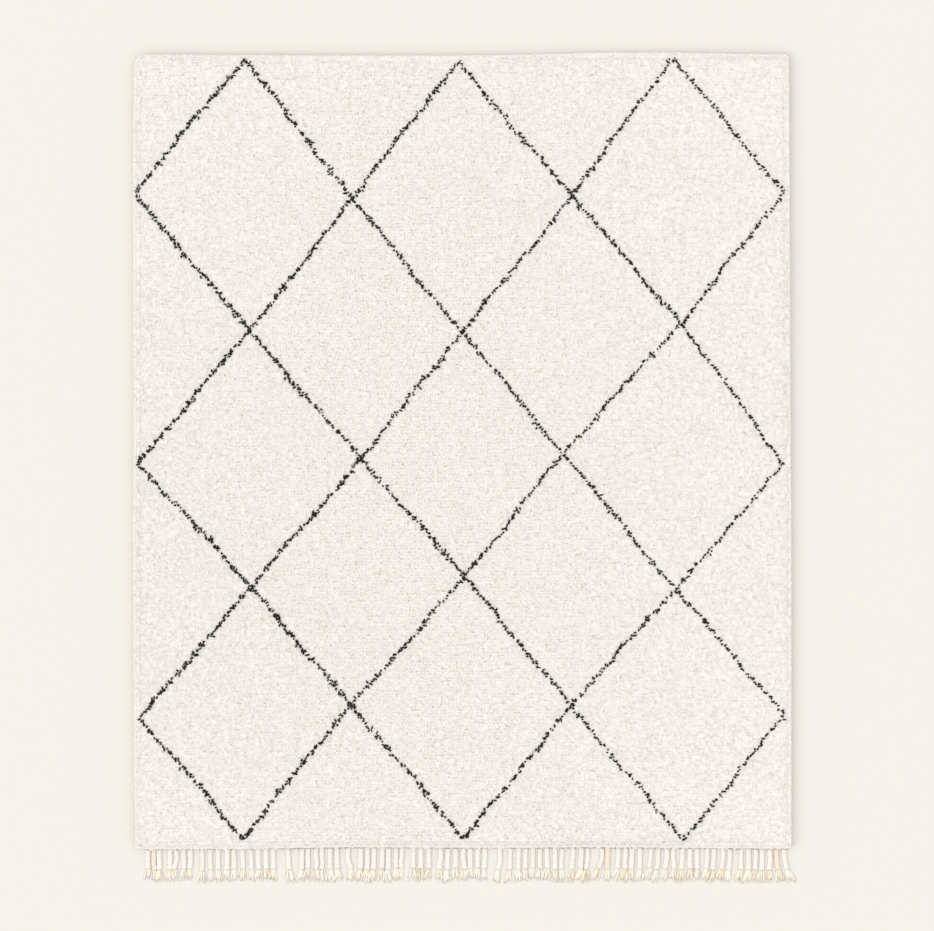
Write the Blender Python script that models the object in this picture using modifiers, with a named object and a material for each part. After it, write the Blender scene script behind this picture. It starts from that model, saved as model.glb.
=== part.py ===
"""Beni Ourain rug: a hand-knotted wool pile rug, lying flat, with a knotted warp fringe at one end.

Metres, +Z up. The rug lies on the plane z = 0 with its length along Y and the fringe at the -Y end.
The origin is under the middle of the whole rug's box, fringe included.
"""

import math
import random

import bmesh
import bpy
from mathutils import Vector

COLLECTION_NAME = "beni_ourain_rug"

# The knotted body: woven ground and wool pile, one piece.
BODY_WIDTH = 2.000
BODY_LENGTH = 2.420
GROUND_THICKNESS = 0.004
PILE_HEIGHT = 0.020
BODY_THICKNESS = GROUND_THICKNESS + PILE_HEIGHT
SHOULDER_RADIUS = 0.008
SHOULDER_SEGMENTS = 3

# The fringe: a narrow woven end band with the warp ends plied into cords.
CORD_LENGTH = 0.104
CORD_WIDTH = 0.007
TUFT_WIDTH = 0.012
TUFT_START = 0.58
FRINGE_THICKNESS = 0.005
BAND_DEPTH = 0.008
BAND_OVERHANG = 0.006
TIP_SPACING = TUFT_WIDTH + 0.0015
LENGTH_JITTER = 0.005
LEAN_JITTER = 0.003
ROOT_JITTER = 0.0025
FRINGE_SEED = 41

# Touching pieces keep this much between them.
PIECE_GAP = 0.0003

# Points closer than this are one point.
WELD_DISTANCE = 0.00005

# Undyed wool, pile and warp.
PILE_COLOUR = (0.86, 0.81, 0.75)
WARP_COLOUR = (0.84, 0.78, 0.67)
WOOL_ROUGHNESS = 0.95

# How far each long side stands out past half the width.
# up: share of the length from the fringe end; left, right: metres.
SIDE_ROWS = (
    {"up": 0.03, "left": -0.0030, "right": 0.0030},
    {"up": 0.19, "left": 0.0000, "right": 0.0030},
    {"up": 0.38, "left": 0.0015, "right": 0.0030},
    {"up": 0.57, "left": 0.0000, "right": 0.0000},
    {"up": 0.75, "left": 0.0015, "right": -0.0015},
    {"up": 0.92, "left": 0.0015, "right": -0.0030},
)

# How far each end stands out past the nominal length.
# across: share of the width from the left side; top, bottom: metres.
END_ROWS = (
    {"across": 0.04, "top": -0.0015, "bottom": 0.0030},
    {"across": 0.19, "top": -0.0030, "bottom": 0.0015},
    {"across": 0.33, "top": -0.0045, "bottom": -0.0030},
    {"across": 0.47, "top": -0.0045, "bottom": -0.0015},
    {"across": 0.60, "top": -0.0015, "bottom": -0.0015},
    {"across": 0.70, "top": 0.0045, "bottom": -0.0030},
    {"across": 0.83, "top": 0.0045, "bottom": -0.0015},
    {"across": 0.97, "top": 0.0000, "bottom": 0.0015},
)

# The four corners, counter-clockwise from the fringe end's left one.
# out_x, out_y: how far the corner stands past the nominal rectangle; radius: its rounding.
CORNER_ROWS = (
    {"out_x": -0.0030, "out_y": 0.0030, "radius": 0.016},
    {"out_x": 0.0030, "out_y": 0.0015, "radius": 0.010},
    {"out_x": -0.0050, "out_y": 0.0000, "radius": 0.014},
    {"out_x": -0.0020, "out_y": -0.0015, "radius": 0.032},
)
CORNER_STEPS = 5

# The cords lie in groups with wider gaps between them.
# first: the group's first cord, from the rug's middle line; pitch: cord to cord;
# lean_first, lean_last: how far the tips of its first and last cords lie to the side of their roots.
CORD_GROUPS = (
    {"cords": 3, "first": -0.957, "pitch": 0.0170, "lean_first": 0.006, "lean_last": -0.002},
    {"cords": 4, "first": -0.892, "pitch": 0.0210, "lean_first": 0.003, "lean_last": -0.006},
    {"cords": 10, "first": -0.790, "pitch": 0.0240, "lean_first": 0.000, "lean_last": 0.003},
    {"cords": 1, "first": -0.530, "pitch": 0.0, "lean_first": 0.009, "lean_last": 0.009},
    {"cords": 6, "first": -0.490, "pitch": 0.0215, "lean_first": -0.005, "lean_last": 0.003},
    {"cords": 1, "first": -0.350, "pitch": 0.0, "lean_first": 0.006, "lean_last": 0.006},
    {"cords": 7, "first": -0.310, "pitch": 0.0215, "lean_first": -0.006, "lean_last": -0.004},
    {"cords": 3, "first": -0.146, "pitch": 0.0220, "lean_first": -0.003, "lean_last": -0.007},
    {"cords": 7, "first": -0.066, "pitch": 0.0225, "lean_first": -0.007, "lean_last": -0.003},
    {"cords": 1, "first": 0.113, "pitch": 0.0, "lean_first": -0.012, "lean_last": -0.012},
    {"cords": 8, "first": 0.149, "pitch": 0.0220, "lean_first": -0.009, "lean_last": 0.001},
    {"cords": 3, "first": 0.341, "pitch": 0.0215, "lean_first": -0.012, "lean_last": -0.006},
    {"cords": 2, "first": 0.425, "pitch": 0.0180, "lean_first": -0.023, "lean_last": -0.003},
    {"cords": 4, "first": 0.475, "pitch": 0.0223, "lean_first": -0.012, "lean_last": -0.006},
    {"cords": 7, "first": 0.574, "pitch": 0.0240, "lean_first": -0.013, "lean_last": -0.004},
    {"cords": 4, "first": 0.746, "pitch": 0.0240, "lean_first": -0.012, "lean_last": -0.015},
    {"cords": 5, "first": 0.849, "pitch": 0.0223, "lean_first": -0.012, "lean_last": 0.000},
    {"cords": 2, "first": 0.959, "pitch": 0.0240, "lean_first": 0.015, "lean_last": 0.026},
)


def clear_scene():
    """Remove every object already in the scene."""
    for old in list(bpy.data.objects):
        bpy.data.objects.remove(old)


def make_wool(name, colour):
    """A plain matt wool finish."""
    material = bpy.data.materials.new(name)
    material.use_nodes = True
    shader = material.node_tree.nodes["Principled BSDF"]
    shader.inputs["Base Color"].default_value = (*colour, 1.0)
    shader.inputs["Roughness"].default_value = WOOL_ROUGHNESS
    shader.inputs["Metallic"].default_value = 0.0
    return material


def corner_points():
    """The body's four true corners, counter-clockwise from the fringe end's left one."""
    half = BODY_WIDTH / 2
    nominal = ((-1, 0.0, -1), (1, 0.0, -1), (1, BODY_LENGTH, 1), (-1, BODY_LENGTH, 1))
    points = []
    for (side, end_y, end_side), row in zip(nominal, CORNER_ROWS):
        points.append(Vector((side * (half + row["out_x"]), end_y + end_side * row["out_y"])))
    return points


def bottom_edge():
    """The waver of the body's edge beside the fringe, from left to right."""
    return [
        Vector(((row["across"] - 0.5) * BODY_WIDTH, -row["bottom"]))
        for row in END_ROWS
    ]


def edge_height(x):
    """Y of the body's fringe-end edge at x, between the rows that waver it."""
    points = bottom_edge()
    if x <= points[0].x:
        return points[0].y
    for start, end in zip(points, points[1:]):
        if x <= end.x:
            share = (x - start.x) / (end.x - start.x)
            return start.y + share * (end.y - start.y)
    return points[-1].y


def rounded_corner(before, corner, after, radius):
    """The arc that rounds one corner between its two neighbours."""
    towards_before = (before - corner).normalized()
    towards_after = (after - corner).normalized()
    half_angle = towards_before.angle(towards_after) / 2
    centre = corner + (towards_before + towards_after).normalized() * radius / math.sin(half_angle)
    start = corner + towards_before * radius / math.tan(half_angle) - centre
    end = corner + towards_after * radius / math.tan(half_angle) - centre
    sweep = start.angle(end)
    arc = []
    for step in range(CORNER_STEPS + 1):
        share = step / CORNER_STEPS
        weight_start = math.sin((1 - share) * sweep) / math.sin(sweep)
        weight_end = math.sin(share * sweep) / math.sin(sweep)
        arc.append(centre + start * weight_start + end * weight_end)
    return arc


def body_outline():
    """The uneven rectangle of the knotted body, counter-clockwise."""
    half = BODY_WIDTH / 2
    bottom = bottom_edge()
    right = [Vector((half + row["right"], row["up"] * BODY_LENGTH)) for row in SIDE_ROWS]
    top = [
        Vector(((row["across"] - 0.5) * BODY_WIDTH, BODY_LENGTH + row["top"]))
        for row in reversed(END_ROWS)
    ]
    left = [
        Vector((-half - row["left"], row["up"] * BODY_LENGTH))
        for row in reversed(SIDE_ROWS)
    ]
    sides = (bottom, right, top, left)
    corners = corner_points()
    outline = []
    for index, side in enumerate(sides):
        previous = sides[index - 1]
        radius = CORNER_ROWS[index]["radius"]
        outline += rounded_corner(previous[-1], corners[index], side[0], radius)
        outline += side
    return outline


def cord_routes():
    """Each cord's root and tip, from left to right, with neighbours' tips kept apart."""
    dice = random.Random(FRINGE_SEED)
    routes = []
    last_tip = -BODY_WIDTH
    for group in CORD_GROUPS:
        for number in range(group["cords"]):
            share = number / max(group["cords"] - 1, 1)
            lean = group["lean_first"] + share * (group["lean_last"] - group["lean_first"])
            lean += dice.uniform(-LEAN_JITTER, LEAN_JITTER)
            root_x = group["first"] + number * group["pitch"]
            root_x += dice.uniform(-ROOT_JITTER, ROOT_JITTER)
            length = CORD_LENGTH + dice.uniform(-LENGTH_JITTER, LENGTH_JITTER)
            tip_x = max(root_x + lean, last_tip + TIP_SPACING)
            last_tip = tip_x
            root = Vector((root_x, edge_height(root_x) - PIECE_GAP - BAND_DEPTH))
            tip = Vector((tip_x, -length))
            routes.append((root, tip))
    return routes


def tuft_start(root, tip):
    """Where a cord widens. It leaves the band square and then bends towards its tip."""
    along = tip - root
    return root + Vector((along.x * TUFT_START**2, along.y * TUFT_START))


def outline_curve(outline):
    """A flat filled curve of an outline, as thick as the body and centred on z = 0."""
    curve = bpy.data.curves.new("body_outline", "CURVE")
    curve.dimensions = "2D"
    curve.fill_mode = "BOTH"
    curve.extrude = BODY_THICKNESS / 2
    spline = curve.splines.new("POLY")
    spline.points.add(len(outline) - 1)
    for point, place in zip(spline.points, outline):
        point.co = (place.x, place.y, 0.0, 1.0)
    spline.use_cyclic_u = True
    return bpy.data.objects.new("body_outline", curve)


def top_rim(bm):
    """The edges that run round the body's top face."""
    return [
        edge
        for edge in bm.edges
        if all(vert.co.z > BODY_THICKNESS - PIECE_GAP for vert in edge.verts)
        and any(face.normal.z < math.cos(math.radians(45)) for face in edge.link_faces)
    ]


def make_knotted_body():
    """Ground weave and wool pile: one thick flat piece with a soft top edge."""
    guide = outline_curve(body_outline())
    bpy.context.scene.collection.objects.link(guide)
    depsgraph = bpy.context.evaluated_depsgraph_get()
    mesh = bpy.data.meshes.new_from_object(guide.evaluated_get(depsgraph))
    bpy.data.objects.remove(guide)
    mesh.name = "knotted_body"

    bm = bmesh.new()
    bm.from_mesh(mesh)
    bmesh.ops.remove_doubles(bm, verts=bm.verts, dist=WELD_DISTANCE)
    bmesh.ops.translate(bm, verts=bm.verts, vec=(0.0, 0.0, BODY_THICKNESS / 2))
    bmesh.ops.recalc_face_normals(bm, faces=bm.faces)
    bmesh.ops.bevel(
        bm,
        geom=top_rim(bm),
        offset=SHOULDER_RADIUS,
        offset_type="OFFSET",
        segments=SHOULDER_SEGMENTS,
        profile=0.5,
        affect="EDGES",
    )
    bm.to_mesh(mesh)
    bm.free()
    mesh.materials.append(make_wool("cream_wool_pile", PILE_COLOUR))
    return bpy.data.objects.new("knotted_body", mesh)


def band_ends(routes):
    """X of the end band's left and right ends."""
    reach = CORD_WIDTH / 2 + BAND_OVERHANG
    return routes[0][0].x - reach, routes[-1][0].x + reach


def make_end_band(bm, routes):
    """The woven end band as a flat strip. Returns the cords' root edges, from left to right."""
    roots = [(root.x - CORD_WIDTH / 2, root.x + CORD_WIDTH / 2) for root, _ in routes]
    left_end, right_end = band_ends(routes)
    kinks = [
        point.x
        for point in bottom_edge()
        if left_end < point.x < right_end
        and not any(left <= point.x <= right for left, right in roots)
    ]
    stations = sorted([left_end, right_end, *kinks, *(x for root in roots for x in root)])
    upper = [bm.verts.new((x, edge_height(x) - PIECE_GAP, 0.0)) for x in stations]
    upper_edges = [bm.edges.new(pair) for pair in zip(upper, upper[1:])]
    made = bmesh.ops.extrude_edge_only(bm, edges=upper_edges)["geom"]
    lower = sorted(
        (part for part in made if isinstance(part, bmesh.types.BMVert)),
        key=lambda vert: vert.co.x,
    )
    bmesh.ops.translate(bm, verts=lower, vec=(0.0, -BAND_DEPTH, 0.0))
    starts = [stations.index(left) for left, _ in roots]
    return [bm.edges.get((lower[start], lower[start + 1])) for start in starts]


def draw_out_edge(bm, edge, middle, width):
    """Extrude one level edge to a new middle and width, and return the new edge."""
    made = bmesh.ops.extrude_edge_only(bm, edges=[edge])["geom"]
    new_edge = next(part for part in made if isinstance(part, bmesh.types.BMEdge))
    left, right = sorted(new_edge.verts, key=lambda vert: vert.co.x)
    left.co = (middle.x - width / 2, middle.y, 0.0)
    right.co = (middle.x + width / 2, middle.y, 0.0)
    return new_edge


def make_warp_fringe():
    """End band and plied warp cords: one comb along the edge."""
    routes = cord_routes()
    bm = bmesh.new()
    root_edges = make_end_band(bm, routes)
    for edge, (root, tip) in zip(root_edges, routes):
        edge = draw_out_edge(bm, edge, tuft_start(root, tip), CORD_WIDTH)
        draw_out_edge(bm, edge, tip, TUFT_WIDTH)
    bm.normal_update()
    downward = [face for face in bm.faces if face.normal.z < 0]
    bmesh.ops.reverse_faces(bm, faces=downward)
    mesh = bpy.data.meshes.new("warp_fringe")
    bm.to_mesh(mesh)
    bm.free()

    fringe = bpy.data.objects.new("warp_fringe", mesh)
    thickness = fringe.modifiers.new("thickness", "SOLIDIFY")
    thickness.thickness = FRINGE_THICKNESS
    thickness.offset = 1.0
    mesh.materials.append(make_wool("undyed_warp_wool", WARP_COLOUR))
    return fringe


def rug_middle():
    """The middle of the whole rug's box, in the frame in which it is drawn."""
    routes = cord_routes()
    body = body_outline()
    reach_x = [point.x for point in body]
    reach_x += [tip.x - TUFT_WIDTH / 2 for _, tip in routes]
    reach_x += [tip.x + TUFT_WIDTH / 2 for _, tip in routes]
    reach_y = [point.y for point in body] + [tip.y for _, tip in routes]
    return Vector(((min(reach_x) + max(reach_x)) / 2, (min(reach_y) + max(reach_y)) / 2, 0.0))


def build():
    """Clear the scene and put the rug's two pieces in it."""
    clear_scene()
    collection = bpy.data.collections.new(COLLECTION_NAME)
    bpy.context.scene.collection.children.link(collection)
    rug = bpy.data.objects.new("rug_middle", None)
    collection.objects.link(rug)
    for piece in (make_knotted_body(), make_warp_fringe()):
        collection.objects.link(piece)
        piece.parent = rug
        piece.location = -rug_middle()


build()
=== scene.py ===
import math

import bpy
import numpy as np
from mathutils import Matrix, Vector


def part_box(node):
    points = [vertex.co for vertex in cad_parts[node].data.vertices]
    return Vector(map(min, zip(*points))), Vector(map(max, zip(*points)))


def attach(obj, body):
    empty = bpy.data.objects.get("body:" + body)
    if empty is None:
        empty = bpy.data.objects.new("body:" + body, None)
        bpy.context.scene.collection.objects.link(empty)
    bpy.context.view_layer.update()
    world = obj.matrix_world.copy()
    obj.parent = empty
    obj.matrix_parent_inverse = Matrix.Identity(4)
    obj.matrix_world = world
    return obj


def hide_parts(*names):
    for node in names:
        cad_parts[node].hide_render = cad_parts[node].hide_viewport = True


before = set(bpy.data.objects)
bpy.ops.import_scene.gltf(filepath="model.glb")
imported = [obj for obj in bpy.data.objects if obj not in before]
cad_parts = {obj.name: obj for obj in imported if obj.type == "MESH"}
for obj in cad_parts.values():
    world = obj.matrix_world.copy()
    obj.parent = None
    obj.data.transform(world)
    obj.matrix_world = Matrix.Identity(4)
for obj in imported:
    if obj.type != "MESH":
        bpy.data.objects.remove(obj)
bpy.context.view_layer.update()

# ---------------------------------------------------------------------------
# Woven ground
# The rug is knotted on a flat ground of cream wool, warp and weft beaten close.
# It lies on the floor under the pile and only its back and its edges ever show.
# ---------------------------------------------------------------------------

GROUND_THICKNESS = 0.004
GROUND_INSET = 0.005
GROUND_ROUNDING = 0.0015
CREAM = (0.820, 0.778, 0.740, 1.0)
CREAM_WARM = (0.692, 0.654, 0.613, 1.0)


class Shade:
    """One socket of a material's nodes, on which sums are written as on a number."""

    def __init__(self, tree, socket=None):
        self.tree = tree
        self.socket = socket

    def node(self, kind, settings, inputs, output=0):
        """Add a node of any kind and return one of its outputs."""
        node = self.tree.nodes.new(kind)
        for name, value in settings.items():
            setattr(node, name, value)
        for name, value in inputs.items():
            if isinstance(value, Shade):
                self.tree.links.new(value.socket, node.inputs[name])
            else:
                node.inputs[name].default_value = value
        return Shade(self.tree, node.outputs[output])

    def sum(self, operation, first, second):
        return self.node("ShaderNodeMath", {"operation": operation}, {0: first, 1: second})

    def __add__(self, other):
        return self.sum("ADD", self, other)

    __radd__ = __add__

    def __mul__(self, other):
        return self.sum("MULTIPLY", self, other)

    __rmul__ = __mul__

    def __sub__(self, other):
        return self.sum("SUBTRACT", self, other)

    def __rsub__(self, other):
        return self.sum("SUBTRACT", other, self)

    def blend(self, first, second):
        """A colour between two, by this value from 0 to 1."""
        mix = {"data_type": "RGBA"}
        return self.node("ShaderNodeMix", mix, {"Factor": self, 6: first, 7: second}, 2)


def start_wool(name, roughness, sheen):
    """A matt wool material. Returns it, its shader node and a Shade to build its nodes from."""
    material = bpy.data.materials.new(name)
    material.use_nodes = True
    shader = material.node_tree.nodes["Principled BSDF"]
    shader.inputs["Roughness"].default_value = roughness
    shader.inputs["Specular IOR Level"].default_value = 0.15
    shader.inputs["Sheen Weight"].default_value = sheen
    shader.inputs["Sheen Roughness"].default_value = 0.6
    return material, shader, Shade(material.node_tree)


def connect(shade, shader, socket):
    """Let a value built from nodes feed one socket of the shader."""
    shade.tree.links.new(shade.socket, shader.inputs[socket])


def mesh_piece(name, points, faces, material, smooth=True):
    """A mesh object from arrays, which rides with the rug."""
    mesh = bpy.data.meshes.new(name)
    mesh.from_pydata(points, [], faces)
    mesh.materials.append(material)
    mesh.update()
    if smooth:
        mesh.shade_smooth()
    piece = bpy.data.objects.new(name, mesh)
    bpy.context.scene.collection.objects.link(piece)
    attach(piece, "root")
    return piece


def rim_of(node):
    """The outline of a solid's flat underside, counter-clockwise, as an array of X and Y."""
    places = np.array([vert.co[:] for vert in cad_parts[node].data.vertices])
    low = np.unique(places[places[:, 2] < 1e-4][:, :2].round(6), axis=0)
    turn = np.arctan2(low[:, 1] - low[:, 1].mean(), low[:, 0] - low[:, 0].mean())
    return low[np.argsort(turn)]


def inset(rim, distance):
    """An outline drawn in by a distance towards its middle, each side by the same."""
    low, high = rim.min(0), rim.max(0)
    return (low + high) / 2 + (rim - (low + high) / 2) * (1 - 2 * distance / (high - low))


def slab(name, rings, material):
    """A closed slab through level outlines, each (rim, height), from the lowest up."""
    count = len(rings[0][0])
    points = np.concatenate([
        np.column_stack([rim, np.full(count, height)]) for rim, height in rings
    ])
    faces = [list(range(count - 1, -1, -1))]
    for level in range(len(rings) - 1):
        low, high = level * count, (level + 1) * count
        for i in range(count):
            j = (i + 1) % count
            faces.append([low + i, low + j, high + j, high + i])
    faces.append([(len(rings) - 1) * count + i for i in range(count)])
    return mesh_piece(name, points.tolist(), faces, material, smooth=False)


body_low, body_high = (np.array(corner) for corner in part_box("knotted_body"))
body_rim = rim_of("knotted_body")

material, shader, start = start_wool("ground_weave", 0.95, 0.1)
place = start.node("ShaderNodeTexCoord", {}, {}, "Object")
ribs = start.node(
    "ShaderNodeTexWave",
    {"wave_type": "BANDS", "bands_direction": "Y"},
    {"Vector": place, "Scale": 75.0, "Distortion": 1.2, "Detail": 2.0, "Detail Scale": 1.5},
    1,
)
warps = start.node(
    "ShaderNodeTexWave",
    {"wave_type": "BANDS", "bands_direction": "X"},
    {"Vector": place, "Scale": 62.0, "Distortion": 0.8, "Detail": 1.0},
    1,
)
weave = ribs * 0.65 + warps * 0.35
connect(weave.blend(CREAM_WARM, CREAM), shader, "Base Color")
bump = start.node("ShaderNodeBump", {}, {"Strength": 0.7, "Distance": 0.0015, "Height": weave})
connect(bump, shader, "Normal")
ground_wool = material

ground_rim = inset(body_rim, GROUND_INSET)
ground = slab(
    "woven_ground",
    [
        (inset(ground_rim, GROUND_ROUNDING), 0.0),
        (ground_rim, GROUND_ROUNDING),
        (ground_rim, GROUND_THICKNESS - 0.001),
        (inset(ground_rim, GROUND_ROUNDING), GROUND_THICKNESS),
    ],
    ground_wool,
)
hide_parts("knotted_body")

# ---------------------------------------------------------------------------
# Cream pile
# Thick, loosely spun wool is knotted row by row and cut to about 20 mm. From
# above only the soft ends show: locks that lean over each other every way.
# ---------------------------------------------------------------------------

BED_TOP = 0.0202
LOCK_PITCH = 0.0084
ROW_PITCH = 0.0098
LOCK_STRETCH = (1.06, 0.98, 1.0)
LOCK_GIRTH = 0.0058
LOCK_POINTS = 7
LOCK_FOOT = 1.08
SHOULDER_AT = 0.76
SHOULDER_GIRTH = 0.84
LOWEST_WOOL = 0.0004
TIP_CLEARANCE = 0.0018
WORN_CENTRE = -0.15
WORN_SPREAD = 0.55
STRAY_PITCH = 0.0116
STRAY_SPREAD = 0.5
STRAY_DROP = 0.0034
STRAY_INSET = 0.012
# The stray hairs' dark brown is painted shade, for the specks between the locks.
STRAY_SHADE_WOOL = (0.54, 0.44, 0.375, 1.0)
PILE_TOP = float(body_high[2])
PILE_BANDS = 5
EDGE_DEPTH = 0.0088
MISSING_SHARE = 0.02

# The imported lower part of the pile: how far in from the rug's edge each outline is, its
# height, and its tone. The sides are cream; the top is warmer, painted shade between the locks.
BED_SHAPE = (
    (0.0032, 0.0030), (0.0016, 0.0075), (0.0014, 0.0125),
    (0.0022, 0.0165), (0.0042, 0.0192), (0.0080, BED_TOP),
)
BED_TONES_AND_SHADE = (0.1, 0.1, 0.1, 0.1, 0.2, 0.45)

dice = np.random.default_rng(20)


def swell(x, y, scale, turn, phase):
    """A slow wave over the rug, from -1 to 1, made of three crossing waves."""
    total = 0.0
    for step, (part, weight) in enumerate(((1.0, 0.5), (1.7, 0.3), (2.9, 0.2))):
        angle = turn + 1.1 * step
        along = (x * math.cos(angle) + y * math.sin(angle)) * part / scale
        total = total + weight * np.sin(2 * math.pi * along + phase + 2.3 * step)
    return total


def from_rim(rim, places):
    """How far in from an outline each place is, less than none outside, and the way out."""
    ends = np.roll(rim, -1, axis=0)
    nearest = np.full(len(places), np.inf)
    odd = np.zeros(len(places), bool)
    out = np.zeros((len(places), 2))
    for start, end in zip(rim, ends):
        along = end - start
        share = np.clip((places - start) @ along / (along @ along), 0, 1)
        away = start + share[:, None] * along - places
        far = np.linalg.norm(away, axis=1)
        closer = far < nearest
        nearest[closer] = far[closer]
        out[closer] = away[closer] / (far[closer, None] + 1e-9)
        crosses = (start[1] > places[:, 1]) != (end[1] > places[:, 1])
        odd ^= crosses & (
            places[:, 0] < along[0] * (places[:, 1] - start[1]) / (along[1] + 1e-12) + start[0]
        )
    return np.where(odd, nearest, -nearest), out


def lock_mesh(root, reach, girth, twist, stretch=(1.0, 1.0, 1.0)):
    """Wool locks as arrays of points and triangles: three sides, a shoulder and a soft end.

    Each stands at its root and reaches to its end, both in X, Y and Z. None dips under the floor.
    """
    count = len(root)
    ahead = reach / np.linalg.norm(reach, axis=1)[:, None]
    aside = np.cross(ahead, (0.31, 0.93, 0.17))
    aside /= np.linalg.norm(aside, axis=1)[:, None]
    other = np.cross(ahead, aside)
    turn = twist[:, None] + np.arange(3) * 2 * math.pi / 3
    ring = aside[:, None] * np.cos(turn)[..., None] + other[:, None] * np.sin(turn)[..., None]
    ring *= girth[:, None, None] * np.array(stretch)
    points = np.empty((count, LOCK_POINTS, 3))
    points[:, 0:3] = root[:, None] + ring * LOCK_FOOT
    points[:, 3:6] = (root + reach * SHOULDER_AT)[:, None] + ring * SHOULDER_GIRTH
    points[:, 6] = root + reach
    points[:, :, 2] = np.maximum(points[:, :, 2], LOWEST_WOOL)
    one = np.array([
        (0, 2, 1),
        (0, 1, 4), (0, 4, 3), (1, 2, 5), (1, 5, 4), (2, 0, 3), (2, 3, 5),
        (3, 4, 6), (4, 5, 6), (5, 3, 6),
    ])
    faces = one[None] + np.arange(count)[:, None, None] * LOCK_POINTS
    return points.reshape(-1, 3), faces.reshape(-1, 3)


def add_plan_map(piece):
    """A map of the piece as seen from above, in which a lock's colour is laid flat."""
    mesh = piece.data
    places = np.empty(len(mesh.vertices) * 3)
    mesh.vertices.foreach_get("co", places)
    places = places.reshape(-1, 3)[:, :2]
    low, span = places.min(0), np.ptp(places, axis=0)
    loops = np.empty(len(mesh.loops), int)
    mesh.loops.foreach_get("vertex_index", loops)
    layer = mesh.uv_layers.new(name="OFBake")
    layer.data.foreach_set("uv", ((places - low) / span)[loops].ravel())


def add_tone(piece, tone, points_each):
    """Store one value for each group of points, which the material reads.

    In the wool of the pile, 0 is cream, 1 is warm, and above 1 it turns to the stray hairs' brown,
    which is painted shade. The warm end also carries painted shade at the bed's top and along
    the pile edge.
    """
    layer = piece.data.attributes.new("tone", "FLOAT", "POINT")
    layer.data.foreach_set("value", np.repeat(tone, points_each))


columns = np.arange(body_low[0], body_high[0], LOCK_PITCH)
rows = np.arange(body_low[1], body_high[1], ROW_PITCH)
x, y = (grid.ravel() for grid in np.meshgrid(columns, rows))
x = x + dice.normal(0, 0.0016, len(x))
y = y + dice.normal(0, 0.0012, len(y))
y = y + 0.0010 * swell(x, y, 0.30, 0.1, 2.0)
depth, outward = from_rim(body_rim, np.stack([x, y], 1))
keep = (depth > EDGE_DEPTH) & (dice.random(len(x)) > MISSING_SHARE)
x, y, depth, outward = x[keep], y[keep], depth[keep], outward[keep]
count = len(x)

# A little left of the middle the pile is worn open: its ends stand apart and throw more
# shade. Towards the edges they lie closer. It is warmer near the left edge; the corners are pale.
middle = (body_low + body_high) / 2
half = (body_high - body_low) / 2
side_share, end_share = (x - middle[0]) / half[0], (y - middle[1]) / half[1]
worn = np.exp(-((side_share - WORN_CENTRE) ** 2) / WORN_SPREAD)
worn = worn * (1 - 0.5 * np.abs(end_share) ** 3)
warmer_left = np.exp(-(((side_share + 0.9) / 0.45) ** 2) - ((end_share + 0.45) / 0.6) ** 2)
corner = np.abs(side_share * end_share) ** 3
heading = dice.uniform(-math.pi, math.pi, count)
lean = dice.uniform(0.0002, 0.0024, count) * (0.25 + 0.75 * worn)
lying = np.stack([np.cos(heading), np.sin(heading)], 1) * lean[:, None]
lying += outward * (0.0035 * np.clip(1 - (depth - EDGE_DEPTH) / 0.012, 0, 1))[:, None]
low = np.interp(depth, *zip(*BED_SHAPE[1:]))
rise = (PILE_TOP - TIP_CLEARANCE - BED_TOP) * (0.36 + 0.64 * worn)
rise += dice.normal(0, 0.0007, count) * (0.1 + 0.9 * worn)
locks = {
    "root": np.column_stack([x, y, low]),
    "reach": np.column_stack([lying, rise]),
    "girth": LOCK_GIRTH * dice.uniform(0.85, 1.15, count) * (1.25 - 0.27 * worn),
    "twist": dice.uniform(0, 2 * math.pi, count),
    "tone": np.clip(
        0.66 - 0.44 * worn + (0.01 + 0.10 * worn) * dice.normal(0, 1, count)
        + 0.06 * swell(x, y, 0.45, 0.9, 4.0) + 0.18 * warmer_left - 0.35 * corner, 0, 1
    ),
}

# Thin dark hairs lie across the ends where the pile is open. Their dark colour is painted
# shade: it stands in for the small shade specks between the open locks.
columns = np.arange(body_low[0], body_high[0], STRAY_PITCH)
rows = np.arange(body_low[1], body_high[1], STRAY_PITCH)
stray_at = np.stack([grid.ravel() for grid in np.meshgrid(columns, rows)], 1)
stray_at = stray_at + dice.uniform(-0.45, 0.45, stray_at.shape) * STRAY_PITCH
side_share, end_share = ((stray_at - middle[:2]) / half[:2]).T
open_pile = np.exp(-((side_share - WORN_CENTRE) ** 2) / STRAY_SPREAD)
open_pile = open_pile * (1 - 0.6 * np.abs(end_share) ** 3)
depth = from_rim(body_rim, stray_at)[0]
stray_at = stray_at[(depth > STRAY_INSET) & (dice.random(len(depth)) < 0.04 + 0.86 * open_pile)]
count = len(stray_at)
heading = dice.normal(0, 0.9, count) + math.pi * (dice.random(count) < 0.5)
lean = dice.uniform(0.0042, 0.0092, count)
strays = {
    "root": np.column_stack([
        stray_at, PILE_TOP - STRAY_DROP + dice.normal(0, 0.0006, count)
    ]),
    "reach": np.column_stack([
        np.cos(heading) * lean, np.sin(heading) * lean, dice.uniform(0.0002, 0.0020, count)
    ]),
    "girth": dice.uniform(0.0007, 0.0012, count),
    "twist": dice.uniform(0, 2 * math.pi, count),
    "tone": dice.uniform(1.4, 2.0, count),
}

material, shader, start = start_wool("cream_wool", 0.9, 0.2)
place = start.node("ShaderNodeTexCoord", {}, {}, "Object")
tone = start.node("ShaderNodeAttribute", {"attribute_name": "tone"}, {}, "Fac")
fibre = start.node("ShaderNodeTexNoise", {}, {"Vector": place, "Scale": 420.0, "Detail": 2.0})
warmth = tone * 0.8 + fibre * 0.45 - 0.09
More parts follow.
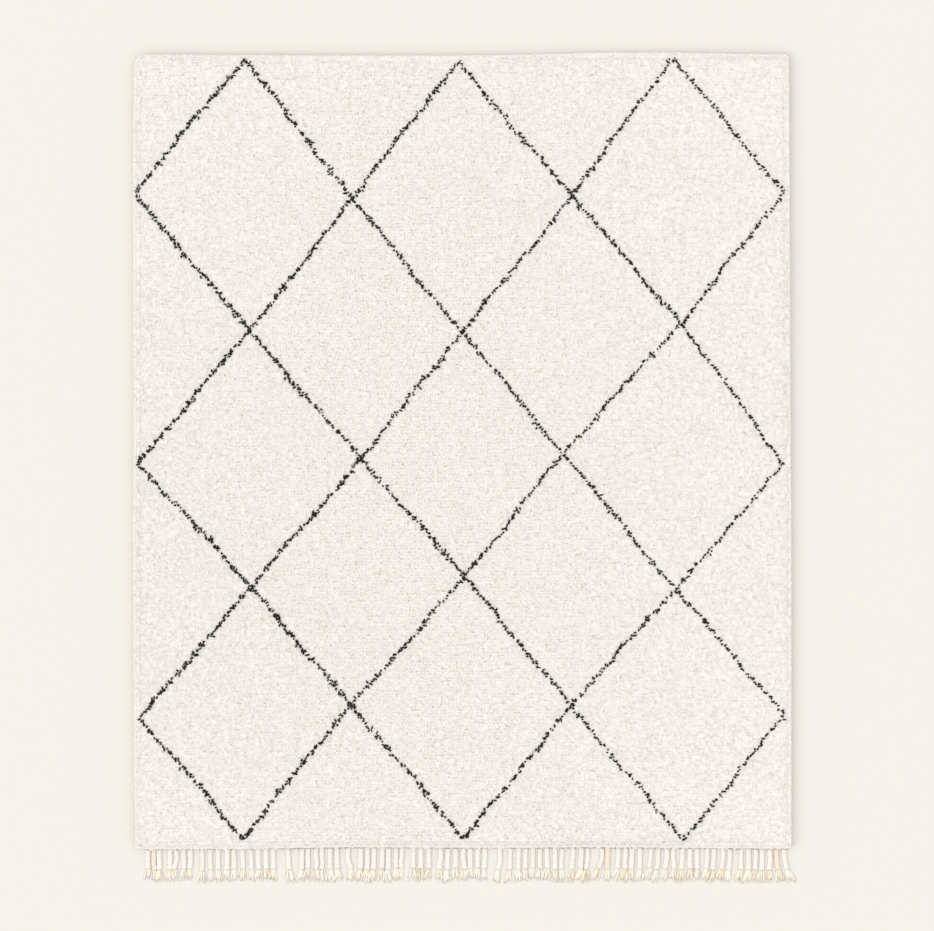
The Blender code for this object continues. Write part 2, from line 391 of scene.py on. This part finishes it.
# Above 1 the tone turns to the stray hairs' colour, which is painted shade.
hair_shade = tone - 1.0
connect(hair_shade.blend(warmth.blend(CREAM, CREAM_WARM), STRAY_SHADE_WOOL), shader, "Base Color")
relief = fibre * (1.0 - tone)
bump = start.node("ShaderNodeBump", {}, {"Strength": 0.5, "Distance": 0.001, "Height": relief})
connect(bump, shader, "Normal")
cream_wool = material

# The bed's top is tinted warm, painted shade where it lies down between the locks.
bed = slab("pile_bed", [(inset(body_rim, away), height) for away, height in BED_SHAPE], cream_wool)
add_tone(bed, np.array(BED_TONES_AND_SHADE), len(body_rim))

# ---------------------------------------------------------------------------
# Dark lattice
# Near-black undyed wool is knotted into the same rows, a knot or two at a time,
# stepping sideways from row to row, so the diamonds' lines are broken and uneven.
# They are broader at the left of the rug than at the right.
# ---------------------------------------------------------------------------

DARK_STEP = 0.0076
DARK_PITCH = 0.0044
DARK_GIRTH = 0.0036
DARK_WOOL = (0.010, 0.006, 0.005, 1.0)
DARK_WOOL_LIT = (0.028, 0.019, 0.015, 1.0)
DARK_CLEARANCE = 0.0014
LEFT_BROADER = 0.26
CLEARANCE = 0.0046
KNOTS_AT_ONCE = 200

# Where the lines cross or turn. across and up: shares of the body's width and length.
TURNS = {
    "top_1": (0.169, 0.991), "top_2": (0.494, 0.988), "top_3": (0.819, 0.992),
    "left_1": (0.001, 0.823), "cross_a1": (0.333, 0.816), "cross_a2": (0.665, 0.820),
    "right_1": (0.988, 0.825),
    "cross_b1": (0.176, 0.651), "cross_b2": (0.499, 0.649), "cross_b3": (0.832, 0.660),
    "left_2": (0.007, 0.484), "cross_c1": (0.346, 0.490), "cross_c2": (0.653, 0.496),
    "right_2": (0.987, 0.484),
    "cross_d1": (0.179, 0.329), "cross_d2": (0.503, 0.343), "cross_d3": (0.824, 0.326),
    "left_3": (0.009, 0.165), "cross_e1": (0.330, 0.182), "cross_e2": (0.665, 0.181),
    "right_3": (0.989, 0.169),
    "low_1": (0.167, 0.013), "low_2": (0.501, 0.013), "low_3": (0.834, 0.011),
}

# Each line runs down the rug from turn to turn.
LINES = (
    ("top_1", "left_1", "cross_b1", "left_2", "cross_d1", "left_3", "low_1"),
    ("top_1", "cross_a1", "cross_b1", "cross_c1", "cross_d1", "cross_e1", "low_1"),
    ("top_2", "cross_a1", "cross_b2", "cross_c1", "cross_d2", "cross_e1", "low_2"),
    ("top_2", "cross_a2", "cross_b2", "cross_c2", "cross_d2", "cross_e2", "low_2"),
    ("top_3", "cross_a2", "cross_b3", "cross_c2", "cross_d3", "cross_e2", "low_3"),
    ("top_3", "right_1", "cross_b3", "right_2", "cross_d3", "right_3", "low_3"),
)

nominal_low = body_low[:2]
nominal_span = (body_high - body_low)[:2]
half_width = nominal_span[0] / 2
knots, headings = [], []
for line in LINES:
    for start_name, end_name in zip(line, line[1:]):
        start_at = nominal_low + np.array(TURNS[start_name]) * nominal_span
        end_at = nominal_low + np.array(TURNS[end_name]) * nominal_span
        rows_here = max(int(abs(end_at[1] - start_at[1]) / DARK_STEP), 1)
        share = (np.arange(rows_here) + 0.5) / rows_here
        phase = dice.uniform(0, 2 * math.pi, 5)
        ease = np.sin(math.pi * share)
        bow = 0.0050 * np.sin(share * 6.3 + phase[0]) + 0.0030 * np.sin(share * 21 + phase[1])
        path = start_at + (end_at - start_at) * share[:, None]
        path[:, 0] += bow * ease + dice.normal(0, 0.0018, rows_here)
        width = 0.0082 + 0.0042 * np.sin(share * 88 + phase[2]) + dice.normal(0, 0.0026, rows_here)
        width *= 1 - LEFT_BROADER * (path[:, 0] - nominal_low[0] - half_width) / half_width
        many = np.clip((width / DARK_PITCH).round(), 1, 4).astype(int)
        comb = 0.7 * np.sin(share * 9 + phase[3]) + (0 if math.sin(phase[4]) > 0 else 1.3)
        for middle_at, wide, amount, way in zip(path, width, many, comb):
            places = (np.arange(amount) + 0.5) / amount - 0.5
            for place in places:
                knots.append(middle_at + np.array([place * wide, 0.0]) + dice.normal(0, 0.0011, 2))
                headings.append(way + dice.normal(0, 0.45) + math.pi * (dice.random() < 0.25))
knots, headings = np.array(knots), np.array(headings)
depth = from_rim(body_rim, knots)[0]
inner = depth > 0.003
knots, headings, depth = knots[inner], headings[inner], depth[inner]
count = len(knots)
low = np.interp(depth, *zip(*BED_SHAPE[1:])) + 0.0006
lean = dice.uniform(0.004, 0.0115, count)
rise = PILE_TOP - DARK_CLEARANCE - BED_TOP + dice.normal(0, 0.0006, count)
points, faces = lock_mesh(
    np.column_stack([knots, low]),
    np.column_stack([np.cos(headings) * lean, np.sin(headings) * lean, rise]),
    DARK_GIRTH * dice.uniform(0.8, 1.2, count),
    dice.uniform(0, 2 * math.pi, count),
)

material, shader, start = start_wool("dark_wool", 0.85, 0.05)
place = start.node("ShaderNodeTexCoord", {}, {}, "Object")
fibre = start.node("ShaderNodeTexNoise", {}, {"Vector": place, "Scale": 300.0, "Detail": 2.0})
connect(fibre.blend(DARK_WOOL, DARK_WOOL_LIT), shader, "Base Color")
lattice = mesh_piece("dark_lattice", points, faces, material)
add_plan_map(lattice)

# A dark knot takes the place of the cream one nearest to it.
crowded = np.zeros(len(locks["root"]), bool)
for first in range(0, count, KNOTS_AT_ONCE):
    some = knots[first:first + KNOTS_AT_ONCE]
    near_y = (locks["root"][:, 1] > some[:, 1].min() - 0.01) & (
        locks["root"][:, 1] < some[:, 1].max() + 0.01
    )
    index = np.flatnonzero(near_y)
    gap = np.linalg.norm(locks["root"][index][:, None, :2] - some[None], axis=2).min(1)
    crowded[index[gap < CLEARANCE]] = True
locks = {
    name: np.concatenate([values[~crowded], strays[name]]) for name, values in locks.items()
}

edges = np.linspace(body_low[1], body_high[1], PILE_BANDS + 1)
for band, (start_y, end_y) in enumerate(zip(edges, edges[1:]), 1):
    here = (locks["root"][:, 1] >= start_y) & (locks["root"][:, 1] < end_y)
    part = {name: values[here] for name, values in locks.items()}
    points, faces = lock_mesh(
        part["root"], part["reach"], part["girth"], part["twist"], LOCK_STRETCH
    )
    piece = mesh_piece(f"cream_pile_{band}", points, faces, cream_wool, smooth=False)
    add_tone(piece, part["tone"], LOCK_POINTS)
    add_plan_map(piece)

# ---------------------------------------------------------------------------
# Pile edge
# Along the rug's four edges the outermost knots lean outwards over the ground
# and hide it, in a trimmed and nearly straight side.
# ---------------------------------------------------------------------------

EDGE_STEP = 0.0062
EDGE_GIRTH = 0.0040
FRINGE_SIDE_INSET = 0.0025
# Each row's place in from the edge, its height, how far it reaches out, and how far up.
EDGE_ROWS = (
    (0.0032, 0.0036, 0.0026, -0.0004),
    (0.0028, 0.0085, 0.0024, 0.0012),
    (0.0032, 0.0135, 0.0028, 0.0012),
    (0.0046, 0.0174, 0.0042, 0.0012),
    (0.0072, 0.0198, 0.0044, 0.0012),
)
steps = np.roll(body_rim, -1, axis=0) - body_rim
lengths = np.linalg.norm(steps, axis=1)
ends = np.concatenate([[0], np.cumsum(lengths)])
roots, reaches = [], []
for away, height, out, up in EDGE_ROWS:
    walk = np.arange(0, ends[-1], EDGE_STEP) + dice.uniform(0, EDGE_STEP)
    walk = walk[walk < ends[-1]]
    walk = np.clip(walk + dice.normal(0, 0.0012, len(walk)), 0, ends[-1] - 1e-6)
    side = np.searchsorted(ends, walk, "right") - 1
    share = (walk - ends[side]) / lengths[side]
    along = steps[side] / lengths[side][:, None]
    outward = np.stack([along[:, 1], -along[:, 0]], 1)
    away = away + FRINGE_SIDE_INSET * (outward[:, 1:] < -0.7)
    at = body_rim[side] + steps[side] * share[:, None] - outward * away
    count = len(walk)
    sideways = dice.normal(0, 0.0018, count)[:, None] * along
    over = outward * (out + dice.normal(0, 0.0007, count))[:, None] + sideways
    roots.append(np.column_stack([at, height + dice.normal(0, 0.0005, count)]))
    reaches.append(np.column_stack([over, up + dice.normal(0, 0.0006, count)]))
roots, reaches = np.concatenate(roots), np.concatenate(reaches)
count = len(roots)
points, faces = lock_mesh(
    roots, reaches, EDGE_GIRTH * dice.uniform(0.8, 1.2, count), dice.uniform(0, 2 * math.pi, count)
)
pile_edge = mesh_piece("pile_edge", points, faces, cream_wool, smooth=False)

# Painted light and shade on the rim, with a little random tone: the edges facing the lamp,
# left and lower, are darkened, the right edge facing away is palest, and the edge at the fringe
# is darkest, as painted shade under the pile's end.
out_x, out_y = (reaches[:, :2] / np.abs(reaches).max()).T
rim_tone_and_shade = 0.15 - 0.2 * out_x - 0.1 * out_y + 1.5 * np.clip(-out_y - 0.2, 0, 0.4)
rim_tone_and_shade = np.clip(rim_tone_and_shade + dice.normal(0, 0.1, count), 0, 1)
add_tone(pile_edge, rim_tone_and_shade, LOCK_POINTS)
add_plan_map(pile_edge)

# ---------------------------------------------------------------------------
# Warp fringe
# Beyond the last row of knots a narrow woven band holds the warps, which are
# plied into cords, knotted, and left to fray into golden ends.
# ---------------------------------------------------------------------------

CORD_RADIUS = 0.0071
CORD_FLATNESS = 0.22
CORD_START = -0.10
CORD_SHARE = 0.56
CORD_RINGS = 24
CORD_SIDES = 10
PLY_TURN = 0.016
PLY_DEPTH = 0.13
WAVER = 0.0036
KNOT_LENGTH = 0.010
KNOT_SWELLING = 0.18
BEND_SHARE = 0.58
TUFT_LOCKS = 16
TUFT_GIRTH = 0.0011
BROAD_GIRTH = 0.0034
LYING_POINTS = 10
LYING_FLATNESS = 0.5
BAND_HEIGHT = 0.0042
BAND_OVERHANG = 0.0026
BAND_POINTS = 160
CORD_CREAM = (0.800, 0.757, 0.700, 1.0)
CORD_SHADED = (0.720, 0.678, 0.622, 1.0)
GOLDEN = (0.740, 0.560, 0.290, 1.0)
STRAW = (0.860, 0.815, 0.740, 1.0)
# The band's dark is painted shade, the shadow under the pile's edge.
BAND_SHADE = (0.32, 0.28, 0.26, 1.0)
BAND_PALE = (0.82, 0.77, 0.72, 1.0)

# Where each ring of a lying lock is along it, and its share of the lock's width and height.
LYING_RINGS = ((0.0, 0.7, 0.7), (0.35, 1.0, 0.9), (0.75, 0.8, 0.6))


def tubes(paths, radii, turns, sides):
    """Cords as arrays: a two-ply section that turns along each path, with closed ends."""
    count, rings = paths.shape[:2]
    along = np.gradient(paths, axis=1)
    along /= np.linalg.norm(along, axis=2)[:, :, None]
    across = np.cross(along, (0.0, 0.0, 1.0))
    across /= np.linalg.norm(across, axis=2)[:, :, None]
    upward = np.cross(across, along)
    angle = np.arange(sides) * 2 * math.pi / sides
    ply = 1 + PLY_DEPTH * np.cos(2 * (angle[None, None] - turns[:, :, None]))
    size = radii[:, :, None] * ply
    points = paths[:, :, None] + across[:, :, None] * (size * np.cos(angle))[..., None]
    points = points + upward[:, :, None] * (size * CORD_FLATNESS * np.sin(angle))[..., None]
    faces = []
    for ring in range(rings - 1):
        for side in range(sides):
            after = (side + 1) % sides
            low, high = ring * sides, (ring + 1) * sides
            faces.append((low + side, high + side, high + after, low + after))
    faces = np.array(faces)[None] + np.arange(count)[:, None, None] * rings * sides
    caps = []
    for number in range(count):
        first = number * rings * sides
        last = first + (rings - 1) * sides
        caps.append([first + side for side in range(sides)])
        caps.append([last + side for side in reversed(range(sides))])
    return points.reshape(-1, 3), faces.reshape(-1, 4).tolist() + caps


fringe_low, fringe_high = (np.array(corner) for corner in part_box("warp_fringe"))
fringe_rim = rim_of("warp_fringe")
down_share = (fringe_high[1] - fringe_rim[:, 1]) / (fringe_high[1] - fringe_low[1])
ends_of = {"tip": down_share > 0.85, "bend": (down_share > 0.3) & (down_share < 0.85)}
level = {
    name: fringe_rim[here][np.argsort(fringe_rim[here][:, 0])].reshape(-1, 2, 2).mean(1)
    for name, here in ends_of.items()
}

# Each cord leaves the band square and bends away as the square of the way along. Its start
# is hidden under the pile, and it ends in a knot, past which the wool is loose.
full_lean = (level["tip"][:, 0] - level["bend"][:, 0]) / (1 - BEND_SHARE**2)
root_x = level["tip"][:, 0] - full_lean
root_y = (level["bend"][:, 1] - BEND_SHARE * level["tip"][:, 1]) / (1 - BEND_SHARE)
cord_count = len(root_x)
drop = level["tip"][:, 1] - root_y

share = np.linspace(CORD_START, CORD_SHARE, CORD_RINGS)[None].repeat(cord_count, 0)
knot_at = CORD_SHARE - 0.5 * KNOT_LENGTH / np.abs(drop)
waver = dice.normal(0, WAVER, cord_count)[:, None]
waver = waver * np.sin(share * 8 + dice.uniform(0, 6, (cord_count, 1)))
outside = np.clip(share, 0, 1)
paths = np.stack([
    root_x[:, None] + full_lean[:, None] * outside**2 + waver * outside,
    root_y[:, None] + drop[:, None] * share,
    np.zeros_like(share),
], 2)
past_knot = (share - knot_at[:, None]) * np.abs(drop)[:, None] / (0.4 * KNOT_LENGTH)
swollen = np.exp(-(past_knot**2))
radii = CORD_RADIUS * (1 + KNOT_SWELLING * swollen) * dice.uniform(0.9, 1.1, cord_count)[:, None]
paths[:, :, 2] = radii * CORD_FLATNESS * 1.22 + 0.0002
turns = share * np.abs(drop)[:, None] * 2 * math.pi / PLY_TURN / 2
turns = turns + dice.uniform(0, 6, (cord_count, 1))
points, faces = tubes(paths, radii, turns, CORD_SIDES)

material, shader, start = start_wool("warp_yarn", 0.85, 0.1)
place = start.node("ShaderNodeTexCoord", {}, {}, "Object")
fibre = start.node("ShaderNodeTexNoise", {}, {"Vector": place, "Scale": 350.0, "Detail": 2.0})
tone = start.node("ShaderNodeAttribute", {"attribute_name": "tone"}, {}, "Fac")
connect(tone.blend(fibre.blend(CORD_SHADED, CORD_CREAM), GOLDEN), shader, "Base Color")
bump = start.node("ShaderNodeBump", {}, {"Strength": 0.5, "Distance": 0.001, "Height": fibre})
connect(bump, shader, "Normal")
cords = mesh_piece("fringe_cords", points.tolist(), faces, material)
cord_gold = np.clip(dice.normal(0, 0.06, cord_count), 0, 1)
cord_gold[dice.random(cord_count) < 0.05] = 0.40
add_tone(cords, cord_gold, CORD_RINGS * CORD_SIDES)
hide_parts("warp_fringe")

# The frayed ends: a brush of thin locks that spreads from each knot, every third one broad.
knot_end = paths[:, -3]
tip_at = level["tip"]
fan = np.linspace(-1, 1, TUFT_LOCKS)[None] + dice.normal(0, 0.12, (cord_count, TUFT_LOCKS))
spread = dice.uniform(0.006, 0.014, cord_count)[:, None]
tuft_root = np.repeat(knot_end[:, None, :2], TUFT_LOCKS, 1)
tuft_root[:, :, 0] += fan * 0.0040
tuft_lean = np.repeat((tip_at - knot_end[:, :2])[:, None], TUFT_LOCKS, 1)
tuft_lean = tuft_lean * dice.uniform(0.72, 1.06, (cord_count, TUFT_LOCKS))[..., None]
tuft_lean[:, :, 0] += fan * spread
total = cord_count * TUFT_LOCKS
broad = np.tile(np.arange(TUFT_LOCKS) % 3 == 1, cord_count)


def lying_lock_mesh(root, lean, height, girth):
    """Locks that lie along the floor, as arrays: three sides, a swelling and a point."""
    amount = len(root)
    forward = lean / np.linalg.norm(lean, axis=1)[:, None]
    across = np.column_stack([-forward[:, 1], forward[:, 0], np.zeros(amount)])
    turn = np.arange(3) * 2 * math.pi / 3 + math.pi / 2
    ring = across[:, None] * np.cos(turn)[None, :, None]
    ring[:, :, 2] += LYING_FLATNESS * np.sin(turn)[None]
    made = np.empty((amount, LYING_POINTS, 3))
    for step, (way, wide, lift) in enumerate(LYING_RINGS):
        middle = np.column_stack([root + lean * way, height * lift])
        made[:, step * 3:step * 3 + 3] = middle[:, None] + ring * girth[:, None, None] * wide
    made[:, -1] = np.column_stack([root + lean, height * 0.35])
    one = [(0, 2, 1)]
    for low in (0, 3):
        for side in range(3):
            after = (side + 1) % 3
            one.append((low + side, low + after, low + after + 3))
            one.append((low + side, low + after + 3, low + side + 3))
    one += [(6, 7, 9), (7, 8, 9), (8, 6, 9)]
    made[:, :, 2] = np.maximum(made[:, :, 2], 0.0003)
    faces = np.array(one)[None] + np.arange(amount)[:, None, None] * LYING_POINTS
    return made.reshape(-1, 3), faces.reshape(-1, 3)


points, faces = lying_lock_mesh(
    tuft_root.reshape(-1, 2),
    tuft_lean.reshape(-1, 2),
    np.where(broad, dice.uniform(0.0006, 0.0012, total), dice.uniform(0.0012, 0.0026, total)),
    np.where(broad, BROAD_GIRTH, TUFT_GIRTH) * dice.uniform(0.75, 1.25, total),
)
material, shader, start = start_wool("frayed_warp", 0.8, 0.1)
tone = start.node("ShaderNodeAttribute", {"attribute_name": "tone"}, {}, "Fac")
connect(tone.blend(STRAW, GOLDEN), shader, "Base Color")
tufts = mesh_piece("frayed_ends", points, faces, material)
golden_share = np.repeat(0.06 + 0.5 * dice.random(cord_count) ** 2, TUFT_LOCKS)
gold = np.where(dice.random(total) < golden_share, dice.uniform(0.4, 1.0, total), 0.15)
gold = np.where(broad, 0.4 * gold, gold)
add_tone(tufts, np.clip(gold, 0, 1), LYING_POINTS)

# The woven end band, which the last pile row half hides. Its dark speckle is painted shade,
# the shadow line under the pile's lower edge.
band_ends = fringe_rim[:, 0][down_share < 0.3]
body_edge = body_rim[body_rim[:, 1] < body_low[1] + 0.009]
body_edge = body_edge[np.argsort(body_edge[:, 0])]
band_x = np.linspace(band_ends.min(), band_ends.max(), BAND_POINTS)
edge_y = np.interp(band_x, body_edge[:, 0], body_edge[:, 1])
outer_y = edge_y - BAND_OVERHANG + dice.normal(0, 0.0009, len(band_x))
ring = np.concatenate([
    np.column_stack([band_x, outer_y]),
    np.column_stack([band_x, edge_y + 0.006])[::-1],
])
material, shader, start = start_wool("band_painted_shade", 0.95, 0.0)
place = start.node("ShaderNodeTexCoord", {}, {}, "Object")
fibre = start.node("ShaderNodeTexNoise", {}, {"Vector": place, "Scale": 160.0, "Detail": 2.0})
shade_speckle = fibre * 5.0 - 1.95
connect(shade_speckle.blend(BAND_SHADE, BAND_PALE), shader, "Base Color")
end_band = slab("end_band", [(ring, 0.0), (ring, BAND_HEIGHT)], material)

# ---------------------------------------------------------------------------
# The rug as one cloth
# The pile is knotted through the ground and the fringe is the ground's own warps,
# so all of it is one cloth, 2.00 by 2.42 m without the fringe, lying flat.

# ---------------------------------------------------------------------------
# Studio
# The rug lies on a plain pale floor and is seen from straight above. An even sky
# gives soft light, and a broad lamp from the left adds a faint shadow at the right.
# ---------------------------------------------------------------------------

FLOOR = (0.705, 0.680, 0.632, 1.0)
FLOOR_REACH = 14
FLOOR_DROP = 0.0005
SKY_STRENGTH = 1.19
LAMP_STRENGTH = 0.72
LAMP_SPREAD = 45
LAMP_TOWARDS = (0.82, 0.24, -0.60)
LENS = 200.0
SENSOR = 36.0
FRAME_WIDTH = 2.843
CAMERA_PLACE = (0.0085, 0.0092)

floor_mesh = bpy.data.meshes.new("floor")
floor_mesh.from_pydata(
    [
        (-FLOOR_REACH, -FLOOR_REACH, -FLOOR_DROP), (FLOOR_REACH, -FLOOR_REACH, -FLOOR_DROP),
        (FLOOR_REACH, FLOOR_REACH, -FLOOR_DROP), (-FLOOR_REACH, FLOOR_REACH, -FLOOR_DROP),
    ],
    [],
    [(0, 1, 2, 3)],
)
floor = bpy.data.objects.new("floor", floor_mesh)
bpy.context.scene.collection.objects.link(floor)
material, shader = start_wool("pale_floor", 0.9, 0.0)[:2]
shader.inputs["Base Color"].default_value = FLOOR
shader.inputs["Specular IOR Level"].default_value = 0.0
floor_mesh.materials.append(material)

world = bpy.data.worlds.new("studio")
world.use_nodes = True
world.node_tree.nodes["Background"].inputs["Color"].default_value = (1, 1, 1, 1)
world.node_tree.nodes["Background"].inputs["Strength"].default_value = SKY_STRENGTH
bpy.context.scene.world = world

lamp = bpy.data.lights.new("soft_lamp", "SUN")
lamp.energy = LAMP_STRENGTH
lamp.angle = math.radians(LAMP_SPREAD)
lamp_object = bpy.data.objects.new("soft_lamp", lamp)
lamp_object.rotation_euler = Vector(LAMP_TOWARDS).to_track_quat("-Z", "Y").to_euler()
bpy.context.scene.collection.objects.link(lamp_object)

bpy.context.scene.view_settings.view_transform = "Standard"

camera = bpy.data.cameras.new("camera")
camera.lens = LENS
camera.sensor_width = SENSOR
camera.clip_end = 100.0
camera_object = bpy.data.objects.new("camera", camera)
camera_object.location = (*CAMERA_PLACE, PILE_TOP + FRAME_WIDTH * LENS / SENSOR)
bpy.context.scene.collection.objects.link(camera_object)
bpy.context.scene.camera = camera_object
